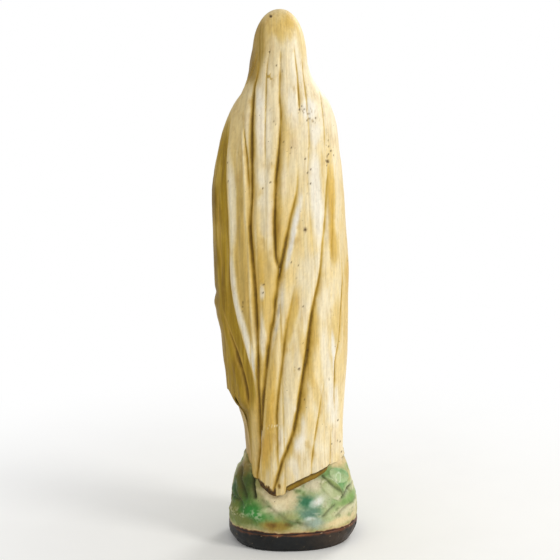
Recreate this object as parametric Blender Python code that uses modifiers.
"""Praying madonna statue on a rock mound: painted plaster castings keyed together on a wooden core.

Run it with: blender --background --python part.py

Frame: +Z up, origin at the middle of the plinth's underside. The figure faces -Y and its left hand is on
the +X side. Sizes below are in millimetres, and MM turns them into Blender's metres.

The draped body is a stack of rounded sections. An angle of 0 is the middle of the back, +90 degrees the
figure's left side, 180 the middle of the front. The gown is the same stack, set in by the mantle's thickness.
"""

import math

import bmesh
import bpy
import numpy as np
from mathutils import Matrix, Vector

MM = 0.001

# Overall heights
STATUE_HEIGHT = 400.0
PLINTH_HEIGHT = 14.0
DECK_HEIGHT = 62.0  # top of the rock, where the figure stands
CROWN_START = 365.0  # above this the veil closes over the head as a dome
SQUARENESS = 2.2  # exponent of the rounded sections, 2 is an ellipse
BASE_SQUARENESS = 2.3  # of the rock and the plinth

# Fits between castings
SEAT_GAP = 0.4
MANTLE_THICKNESS = 3.2
GOWN_INSET = 4.8  # mantle thickness, its folds and the plaster bed between the two castings
GOWN_WALL = 9.0

# Half sizes of the draped body as (height, size) stations, low to high
LEFT = [(44, 33.5), (84, 35), (100, 40), (115, 47), (147, 50), (178, 54), (240, 54.5), (269, 54), (299, 48),
        (320, 42), (335, 34), (342, 28.5), (349, 25), (365, 22)]
RIGHT = [(44, 39.5), (84, 40), (115, 42.5), (147, 45), (208, 47.5), (240, 46), (269, 45), (299, 42),
         (320, 39.4), (335, 34), (342, 27.5), (349, 23.5), (365, 20)]
BACK = [(44, 39), (80, 38), (110, 36.5), (150, 35), (190, 34), (230, 33), (270, 31), (300, 28), (320, 25),
        (335, 22), (350, 20), (365, 21)]
FRONT = [(44, 35), (62, 35), (100, 33), (150, 31), (200, 29), (225, 26.5), (242, 25), (262, 27.5), (285, 30),
         (300, 28.5), (320, 23), (335, 20), (350, 19), (365, 21.5)]

# Where the mantle's two front edges run, as (height, degrees from the middle of the back)
LEFT_EDGE = [(62, 108), (107, 108), (150, 112), (240, 113), (272, 112), (292, 120), (312, 134), (332, 143),
             (350, 138), (368, 131), (380, 138), (387, 158), (390, 180)]
RIGHT_EDGE = [(62, 116), (107, 114), (150, 113), (240, 113), (272, 112), (292, 120), (312, 134), (332, 143),
              (350, 138), (368, 131), (380, 138), (387, 158), (390, 180)]
# The mantle's hem, as (degrees, height): a low point behind the left heel, lifted on the left side
HEM = [(-116, 62.6), (-70, 62.6), (-43, 62), (-26, 57), (-10, 52.5), (6, 48), (22, 44), (33, 47.5), (49, 52),
       (60, 56), (70, 76), (80, 100), (92, 110), (108, 110)]

# The rock's half sizes by height
ROCK_LEFT = [(14.4, 50), (35, 48.5), (44, 46.5), (52, 43.5), (62, 38.5)]
ROCK_RIGHT = [(14.4, 50), (35, 49.5), (44, 48), (52, 45.5), (62, 41.5)]
ROCK_BACK = [(14.4, 39.5), (30, 38.5), (40, 36), (44, 32), (50, 27.5), (56, 21.5), (62, 20.5)]
ROCK_FRONT = [(14.4, 40), (44, 39.5), (62, 38.5)]

ROCK_WALL = 10.0
ROCK_CEILING = 9.0

# Places of the parts of the figure
WAIST = 240.0
FEET = {"left": 12.0, "right": -10.0}
TOE_ARCH_RADIUS = 9.4  # the hem lifts over each foot
HEAD_CENTRE = Vector((1.2, -1.5, 369.0))
HEAD_SIZE = Vector((15.0, 16.3, 22.5))
NECK_RADIUS = 8.4
PLUG_RADIUS = 9.5
WRIST_RADIUS = 4.6

# The wooden core and the joints' dowels and wires
CORE_RADIUS = 5.0
CORE_BOTTOM, CORE_TOP = 4.0, 262.0
NECK_AXIS = Vector((1.2, -1.0))
DOWEL_RADIUS = 2.0
WIRE_RADIUS = 0.6
BORE_CLEARANCE = 0.4

# The rosary: a long narrow loop, and its cross
ROSARY_X, ROSARY_TOP, ROSARY_FOOT = -17.0, 243.0, 176.0
CROSS_HEIGHT = 160.0

FLESH = (0.80, 0.52, 0.38)
CREAM = (0.78, 0.66, 0.42)
GOLD = (0.62, 0.42, 0.10)


def along(stations, at):
    """Smooth value of a list of (position, value) stations: a cubic through them, flat past the ends."""
    places, values = zip(*stations)
    slopes = np.gradient(values, places)
    i = int(np.clip(np.searchsorted(places, at) - 1, 0, len(places) - 2))
    step = places[i + 1] - places[i]
    t = min(max((at - places[i]) / step, 0.0), 1.0)
    start = (1 + 2 * t) * (1 - t) ** 2 * values[i] + t * (1 - t) ** 2 * step * slopes[i]
    end = t * t * (3 - 2 * t) * values[i + 1] + t * t * (t - 1) * step * slopes[i + 1]
    return start + end


def rounded(half_width, half_depth, angle, squareness):
    """Point on a rounded outline. Angle 0 is its +Y end and a quarter turn is its +X end."""
    s, c = math.sin(angle), math.cos(angle)
    power = 2 / squareness
    return (half_width * math.copysign(abs(s) ** power, s), half_depth * math.copysign(abs(c) ** power, c))


def pleat(height, angle):
    """Shallow folds that deepen towards the hem and fade out at the shoulders."""
    depth = 0.8 * min(max((320 - height) / 120, 0.0), 1.0)
    return depth * math.cos(13 * angle + 0.006 * height)


def body_point(height, angle, inset=0.0):
    """Point of the draped body's surface, moved inwards by inset."""
    half_width = along(LEFT if math.sin(angle) > 0 else RIGHT, height)
    half_depth = along(BACK if math.cos(angle) > 0 else FRONT, height)
    dome = 1.0
    if height > CROWN_START:
        rise = (height - CROWN_START) / (STATUE_HEIGHT - CROWN_START)
        dome = max(1 - rise**SQUARENESS, 0.0) ** (1 / SQUARENESS)
    set_in = inset - pleat(height, angle)
    x, y = rounded((half_width - set_in) * dome, (half_depth - set_in) * dome, angle, SQUARENESS)
    return Vector((x, y, height))


def gown_front(x, height, proud):
    """Point in front of the gown at the given x and height, standing proud of its surface."""
    side = along(LEFT if x > 0 else RIGHT, height) - GOWN_INSET
    angle = math.pi - math.copysign(math.asin(min(abs(x) / side, 1) ** (SQUARENESS / 2)), x)
    return body_point(height, angle, GOWN_INSET - proud)


def material(name, colour, roughness, metallic=0.0):
    made = bpy.data.materials.get(name) or bpy.data.materials.new(name)
    made.use_nodes = True
    shader = made.node_tree.nodes["Principled BSDF"]
    shader.inputs["Base Color"].default_value = (*colour, 1)
    shader.inputs["Roughness"].default_value = roughness
    shader.inputs["Metallic"].default_value = metallic
    made.diffuse_color = (*colour, 1)
    return made


def paint(obj, name, colour, roughness, metallic=0.0):
    obj.data.materials.clear()
    obj.data.materials.append(material(name, colour, roughness, metallic))
    return obj


def collection(name):
    made = bpy.data.collections.get(name)
    if made is None:
        made = bpy.data.collections.new(name)
        bpy.context.scene.collection.children.link(made)
    return made


def file_in(obj, name):
    """Puts an object in one named collection and takes it out of any other."""
    for holder in list(obj.users_collection):
        holder.objects.unlink(obj)
    collection(name).objects.link(obj)
    return obj


def finish_mesh(obj, smooth_angle=35):
    obj.data.shade_smooth()
    obj.data.set_sharp_from_angle(angle=math.radians(smooth_angle))
    return file_in(obj, "madonna_statue")


def from_bmesh(name, mesh):
    bmesh.ops.recalc_face_normals(mesh, faces=mesh.faces)
    data = bpy.data.meshes.new(name)
    mesh.to_mesh(data)
    mesh.free()
    obj = bpy.data.objects.new(name, data)
    return finish_mesh(obj)


def loft(name, rings):
    """A closed solid through rings of points with equal counts, flat at both ends."""
    mesh = bmesh.new()
    rows = [[mesh.verts.new(Vector(p) * MM) for p in ring] for ring in rings]
    for low, high in zip(rows, rows[1:]):
        for i in range(len(low)):
            j = (i + 1) % len(low)
            mesh.faces.new((low[i], low[j], high[j], high[i]))
    mesh.faces.new(rows[0])
    mesh.faces.new(rows[-1])
    return from_bmesh(name, mesh)


def sheet(name, rows, thickness, offset):
    """An open grid of points given a thickness: offset -1 grows it inwards, +1 outwards."""
    mesh = bmesh.new()
    grid = [[mesh.verts.new(p * MM) for p in row] for row in rows]
    for low, high in zip(grid, grid[1:]):
        for i in range(len(low) - 1):
            mesh.faces.new((low[i], low[i + 1], high[i + 1], high[i]))
    bmesh.ops.remove_doubles(mesh, verts=mesh.verts, dist=0.00002)
    obj = from_bmesh(name, mesh)
    outwards = sum((f.normal.dot(f.center - Vector((0, 0, f.center.z))) for f in obj.data.polygons), 0.0) > 0
    if not outwards:
        obj.data.flip_normals()
    shell = obj.modifiers.new("Thickness", "SOLIDIFY")
    shell.thickness = thickness * MM
    shell.offset = offset
    shell.use_even_offset = False
    return obj


def primitive(name, kind, **settings):
    getattr(bpy.ops.mesh, f"primitive_{kind}_add")(**settings)
    obj = bpy.context.object
    obj.name = name
    obj.data.name = name
    bpy.ops.object.transform_apply(location=False, rotation=False, scale=True)
    return finish_mesh(obj)


def rod(name, start, end, radius, sides=16):
    """A round bar between two points."""
    start, end = Vector(start), Vector(end)
    turn = (end - start).to_track_quat("Z", "Y").to_euler()
    return primitive(name, "cylinder", vertices=sides, radius=radius * MM, depth=(end - start).length * MM,
                     location=(start + end) / 2 * MM, rotation=turn)


def as_cutter(obj):
    obj.hide_render = True
    obj.display_type = "WIRE"
    return file_in(obj, "cutters")


def combine(obj, other, operation="DIFFERENCE"):
    step = obj.modifiers.new(f"{operation.title()} {other.name}", "BOOLEAN")
    step.operation = operation
    step.object = as_cutter(other)
    return obj


def bore(obj, start, end, radius):
    """A round hole for a rod of that radius, with clearance."""
    return combine(obj, rod(f"{obj.name}_bore", start, end, radius + BORE_CLEARANCE))


def base_ring(height, grow=0.0, count=36):
    points = []
    for i in range(count):
        angle = 2 * math.pi * i / count
        wide = along(ROCK_LEFT if math.sin(angle) > 0 else ROCK_RIGHT, height) + grow
        deep = along(ROCK_BACK if math.cos(angle) > 0 else ROCK_FRONT, height) + grow
        points.append((*rounded(wide, deep, angle, BASE_SQUARENESS), height))
    return points


def gown_ring(height, inset, shrink=1.0, count=36):
    ring = [body_point(height, 2 * math.pi * i / count, inset) for i in range(count)]
    middle = Vector((*NECK_AXIS, height))
    return [middle + (p - middle) * shrink for p in ring]


def build_plinth():
    """The dark foot slab, with a blind socket that holds the core."""
    edge_round = 2.0
    steps = [(0, -edge_round), (0.6, -edge_round * 0.45), (edge_round, 0), (PLINTH_HEIGHT, 0)]
    rings = []
    for height, grow in steps:
        rings.append([(x, y, height) for x, y, _ in base_ring(ROCK_LEFT[0][0], grow)])
    plinth = loft("plinth", rings)
    bore(plinth, (0, 0, CORE_BOTTOM), (0, 0, PLINTH_HEIGHT + 5), CORE_RADIUS)
    return paint(plinth, "dark_paint", (0.035, 0.025, 0.022), 0.45)


def build_rock():
    """The hollow mound, open below, with the core passing through its deck."""
    bottom = PLINTH_HEIGHT + SEAT_GAP
    rock = loft("rock_mound", [base_ring(z) for z in (bottom, 22, 30, 37, 42, 46, 51, 56, DECK_HEIGHT)])
    hollow_top = DECK_HEIGHT - ROCK_CEILING
    mouth = base_ring(bottom, -ROCK_WALL)
    ceiling = [(x * 0.62, y * 0.5, hollow_top) for x, y, _ in base_ring(44, -ROCK_WALL)]
    hollow = loft("rock_hollow", [mouth, ceiling])
    lip = loft("rock_hollow_mouth", [[(x, y, z) for x, y, _ in mouth] for z in (bottom - 2, bottom + 1)])
    combine(rock, hollow)
    combine(rock, lip)
    combine(rock, mantle_sheet("mantle_seat", SEAT_GAP, top_row=4))
    bore(rock, (0, 0, hollow_top - 5), (0, 0, DECK_HEIGHT + 5), CORE_RADIUS)
    return paint(rock, "rock_paint", (0.30, 0.42, 0.24), 0.5)


def build_gown():
    """The hollow body casting: skirt, chest and shoulders, with seats for the neck, core and feet."""
    bottom, chest = DECK_HEIGHT + SEAT_GAP, 298.0
    rings = [gown_ring(z, GOWN_INSET) for z in np.linspace(bottom, chest, 17)]
    slope = [(306, 0.975), (314, 0.925), (321, 0.85), (327, 0.745), (332, 0.61), (335.5, 0.46), (337, 0.38)]
    rings += [gown_ring(z, GOWN_INSET, shrink) for z, shrink in slope]
    gown = loft("gown", rings)
    inner_heights = (bottom - 3, 120, 180, 222)
    inner = loft("gown_hollow", [gown_ring(z, GOWN_INSET + GOWN_WALL, count=20) for z in inner_heights])
    combine(gown, inner)
    bore(gown, (0, 0, 215), (0, 0, CORE_TOP + 2), CORE_RADIUS)
    bore(gown, (*NECK_AXIS, 324.0), (*NECK_AXIS, 345.0), PLUG_RADIUS)
    bore(gown, (*NECK_AXIS, 308.0), (*NECK_AXIS, 326.0), DOWEL_RADIUS)
    for x in FEET.values():
        combine(gown, rod("toe_arch", (x, -10, DECK_HEIGHT), (x, -45, DECK_HEIGHT), TOE_ARCH_RADIUS, sides=20))
    return paint(gown, "gown_paint", CREAM, 0.5)


def mantle_sheet(name, grow, top_row=None):
    """The mantle's shell, or with grow a thicker copy of its foot that cuts a seat for it."""
    across, up = 30, 21
    rise = STATUE_HEIGHT - CROWN_START
    dome = [CROWN_START + rise * math.sin(math.radians(turn)) for turn in (15, 30, 45, 60, 74, 90)]
    rows = []
    for j in range(up + 1 + len(dome))[:top_row]:
        row = []
        for i in range(across + 1):
            u = i / across
            hem = along(HEM, HEM[0][0] + u * (HEM[-1][0] - HEM[0][0])) - 3 * grow
            height = hem + (CROWN_START - hem) * j / up if j <= up else dome[j - up - 1]
            low, high = -along(RIGHT_EDGE, height) - 3 * grow, along(LEFT_EDGE, height) + 3 * grow
            row.append(body_point(height, math.radians(low + u * (high - low)), -grow))
        rows.append(row)
    return sheet(name, rows, MANTLE_THICKNESS + 2 * grow, -1)


def build_mantle():
    """The veil and mantle: one shell over head, shoulders and back, open at the front."""
    return paint(mantle_sheet("mantle", 0.0), "mantle_paint", CREAM, 0.5)


def build_head():
    """Head, neck and a round plug that seats in the shoulders. The jaw narrows below the cheeks."""
    head = primitive("head", "uv_sphere", segments=24, ring_count=16, radius=MM, location=HEAD_CENTRE * MM)
    for vertex in head.data.vertices:
        side, front, up = vertex.co / MM
        narrower, shallower = 1 - 0.30 * max(-up, 0) ** 1.5, 1 - 0.12 * max(-up, 0)
        vertex.co = Vector((side * narrower, front * shallower, up)) * HEAD_SIZE * MM
    nose = primitive("nose", "cone", vertices=12, radius1=2.6 * MM, radius2=0.9 * MM, depth=9 * MM,
                     location=(NECK_AXIS.x * MM, -17.3 * MM, 366 * MM), rotation=(math.radians(-12), 0, 0))
    combine(head, nose, "UNION")
    combine(head, rod("neck", (*NECK_AXIS, 326.5), (*NECK_AXIS, 358), NECK_RADIUS, sides=24), "UNION")
    combine(head, rod("neck_plug", (*NECK_AXIS, 325), (*NECK_AXIS, 333), PLUG_RADIUS, sides=24), "UNION")
    bore(head, (*NECK_AXIS, 320), (*NECK_AXIS, 350), DOWEL_RADIUS)
    return paint(head, "flesh_paint", FLESH, 0.45)


def sleeve_ring(centre, direction, wide, tall, count=18):
    """A ring round a sleeve's centre line, taller than it is wide."""
    turn = direction.to_track_quat("Z", "Y").to_matrix()
    angles = [2 * math.pi * i / count for i in range(count)]
    return [centre + turn @ Vector((wide * math.cos(a), tall * math.sin(a), 0)) for a in angles]


def sleeve_path(side):
    """Centre line of a forearm from elbow to cuff, with its half width and half height."""
    stations = [((30, -12, 254), 9.0, 9.5), ((27, -19, 258), 9.5, 10.5), ((20, -25.5, 264), 8.8, 10.0),
                ((13.5, -30.5, 271), 7.6, 9.0), ((10.2, -33, 277), 7.0, 8.6)]
    return [(Vector((side * x + NECK_AXIS.x, y, z)), wide, tall) for (x, y, z), wide, tall in stations]


def build_sleeve(name, side):
    """A forearm casting: it butts on the gown and holds the hand's wrist."""
    path = sleeve_path(side)
    rings = []
    for i, (centre, wide, tall) in enumerate(path):
        before, after = path[max(i - 1, 0)][0], path[min(i + 1, len(path) - 1)][0]
        rings.append(sleeve_ring(centre, (after - before).normalized(), wide, tall))
    sleeve = loft(name, rings)
    heights = np.linspace(215, 300, 12)
    combine(sleeve, loft(f"{name}_seat", [gown_ring(z, GOWN_INSET - SEAT_GAP) for z in heights]))
    return paint(sleeve, "gown_paint", CREAM, 0.5)


def hand_axis(side):
    """Wrist end and finger tips of a hand."""
    return Vector((side * 6.2 + NECK_AXIS.x, -32.2, 272)), Vector((side * 2.6 + NECK_AXIS.x, -40.0, 311))


def build_hand(name, side):
    """A flat hand held up against the other, with a round wrist that plugs into the sleeve."""
    wrist, tip = hand_axis(side)
    along_hand = tip - wrist
    turn = along_hand.to_track_quat("Z", "Y").to_matrix()
    shape = [(0.0, 4.0, 4.0), (0.20, 3.8, 4.4), (0.32, 3.6, 6.2), (0.52, 3.4, 7.2), (0.72, 3.0, 6.6),
             (0.88, 2.4, 4.8), (0.97, 1.6, 2.6), (1.0, 0.7, 1.1)]
    rings = []
    for share, half_thick, half_wide in shape:
        centre = wrist + along_hand * share
        ring = []
        for i in range(16):
            x, y = rounded(half_thick, half_wide, 2 * math.pi * i / 16, 2.4)
            ring.append(centre + turn @ Vector((x, y, 0)))
        rings.append(ring)
    hand = loft(name, rings)
    # cut flat just short of the middle, where the other palm lies against it
    block, palm_gap = Vector((40, 60, 80)), 0.2
    place = Vector((NECK_AXIS.x - side * (block.x / 2 - palm_gap), -36, 290))
    combine(hand, primitive(f"{name}_palm_plane", "cube", size=1, location=place * MM, scale=block * MM))
    return paint(hand, "flesh_paint", FLESH, 0.45)


def wire_path(side):
    """From inside the sleeve, through a bend at the wrist, into the palm."""
    wrist, tip = hand_axis(side)
    return [sleeve_path(side)[2][0], wrist.lerp(tip, 0.06), wrist.lerp(tip, 0.55)]


def build_hand_wire(name, side):
    """The steel wire that holds a hand in its sleeve."""
    points = wire_path(side)
    curve = bpy.data.curves.new(name, "CURVE")
    curve.dimensions = "3D"
    curve.bevel_depth = WIRE_RADIUS * MM
    curve.bevel_resolution = 1
    curve.use_fill_caps = True
    line = curve.splines.new("POLY")
    line.points.add(len(points) - 1)
    for point, place in zip(line.points, points):
        point.co = (*(place * MM), 1)
    wire = bpy.data.objects.new(name, curve)
    file_in(wire, "madonna_statue")
    return paint(wire, "steel_wire", (0.35, 0.33, 0.30), 0.45, 0.9)


def seat_hand(side, sleeve, hand):
    """Cuts the sleeve for the wrist, and both for the wire."""
    wrist, tip = hand_axis(side)
    start, joint, end = wire_path(side)
    low_way, high_way = (joint - start).normalized(), (end - joint).normalized()
    socket_radius = WRIST_RADIUS + SEAT_GAP
    combine(sleeve, rod(f"{sleeve.name}_wrist_socket", wrist.lerp(tip, -0.02), tip, socket_radius, sides=24))
    for piece in (sleeve, hand):
        bore(piece, start - low_way, joint + low_way * 0.8, WIRE_RADIUS)
        bore(piece, joint - high_way * 0.8, end + high_way, WIRE_RADIUS)


def build_foot(name, x):
    """A bare foot standing on the deck, its heel under the gown."""
    shape = [(-10, 4.5, 4.0), (-16, 5.5, 6.5), (-24, 5.8, 7.2), (-31, 6.2, 5.6), (-35.5, 5.8, 3.8),
             (-37.6, 3.8, 2.0)]
    bottom = DECK_HEIGHT + SEAT_GAP
    rings = []
    for y, half_wide, tall in shape:
        ring = []
        for i in range(16):
            angle = 2 * math.pi * i / 16
            lift = tall * max(0.5 + 0.62 * math.sin(angle), 0.0)
            ring.append((x + half_wide * math.cos(angle), y, bottom + lift))
        rings.append(ring)
    return paint(loft(name, rings), "flesh_paint", FLESH, 0.45)


def build_rose(name, x):
    """A small gilded rose lying on the instep."""
    rose = primitive(name, "uv_sphere", segments=16, ring_count=8, radius=MM,
                     location=(x * MM, -33.6 * MM, (DECK_HEIGHT + 9.6) * MM), scale=(4.2, 3.2, 2.4),
                     rotation=(math.radians(24), 0, 0))
    return paint(rose, "gilding", GOLD, 0.35, 0.6)


def relief(name, bottom, top, centre, half_wide, gap, thickness, rows, columns):
    """A raised band that lies on the gown: centre and half_wide are degrees from the middle of the back."""
    grid = []
    for j in range(rows + 1):
        height = bottom + (top - bottom) * j / rows
        line = []
        for i in range(columns + 1):
            angle = math.radians(centre + half_wide * (2 * i / columns - 1))
            line.append(body_point(height, angle, GOWN_INSET - gap))
        grid.append(line)
    return sheet(name, grid, thickness, 1)


def build_sash():
    """The girdle: a band, its knot and two hanging tails."""
    blue = (0.12, 0.28, 0.55)
    band_half, tail_top = 4.5, WAIST - 5.2
    pieces = [relief("sash_band", WAIST - band_half, WAIST + band_half, 180, 62, 0.6, 1.4, 3, 26)]
    pieces.append(relief("left_sash_tail", 128, tail_top, 174.5, 4.6, 0.9, 1.3, 16, 3))
    pieces.append(relief("right_sash_tail", 118, tail_top, 185.5, 4.6, 0.9, 1.3, 16, 3))
    front = gown_front(0.5, WAIST, 2.9)
    pieces.append(primitive("sash_knot", "uv_sphere", segments=16, ring_count=8, radius=MM,
                            location=(front + Vector((0, -2.6, 0))) * MM, scale=(5.0, 2.3, 4.4)))
    for piece in pieces:
        paint(piece, "sash_paint", blue, 0.45)


def build_rosary():
    """The moulded rosary: a long narrow loop below the right forearm, and its cross."""
    curve = bpy.data.curves.new("rosary_loop", "CURVE")
    curve.dimensions = "3D"
    curve.bevel_depth = 1.1 * MM
    curve.bevel_resolution = 1
    line = curve.splines.new("POLY")
    count = 36
    line.points.add(count - 1)
    for i, point in enumerate(line.points):
        turn = 2 * math.pi * i / count
        height = (ROSARY_TOP + ROSARY_FOOT) / 2 + (ROSARY_TOP - ROSARY_FOOT) / 2 * math.cos(turn)
        x = ROSARY_X + 4.2 * math.copysign(abs(math.sin(turn)) ** 0.6, math.sin(turn))
        proud = 3.6 if height > WAIST - 10 else 2.2  # over the girdle, or on the gown
        point.co = (*(gown_front(x, height, proud) * MM), 1)
    line.use_cyclic_u = True
    loop = bpy.data.objects.new("rosary_loop", curve)
    file_in(loop, "madonna_statue")
    paint(loop, "gilding", GOLD, 0.35, 0.6)

    centre, wide, thick = gown_front(ROSARY_X, CROSS_HEIGHT, 2.4), 2.2, 1.6
    cross = primitive("rosary_cross", "cube", size=1, location=centre * MM, scale=Vector((wide, thick, 15)) * MM)
    arms = primitive("rosary_cross_arms", "cube", size=1, location=(centre + Vector((0, 0, 2.5))) * MM,
                     scale=Vector((9, thick, wide)) * MM)
    combine(cross, arms, "UNION")
    paint(cross, "gilding", GOLD, 0.35, 0.6)


def build_core():
    """The wooden core from plinth to chest, and the dowel between neck and shoulders."""
    wood = (0.42, 0.27, 0.14)
    core = rod("core_rod", (0, 0, CORE_BOTTOM + SEAT_GAP), (0, 0, CORE_TOP), CORE_RADIUS, sides=20)
    dowel = rod("neck_dowel", (*NECK_AXIS, 309), (*NECK_AXIS, 349), DOWEL_RADIUS)
    for piece in (core, dowel):
        paint(piece, "bare_wood", wood, 0.8)


def main():
    for obj in list(bpy.data.objects):
        bpy.data.objects.remove(obj)
    build_plinth()
    build_rock()
    build_gown()
    build_mantle()
    build_head()
    build_core()
    for name, side in (("left", 1), ("right", -1)):
        sleeve = build_sleeve(f"{name}_sleeve", side)
        hand = build_hand(f"{name}_hand", side)
        seat_hand(side, sleeve, hand)
        build_hand_wire(f"{name}_hand_wire", side)
    for name, x in FEET.items():
        build_foot(f"{name}_foot", x)
        build_rose(f"{name}_rose", x)
    build_sash()
    build_rosary()


main()
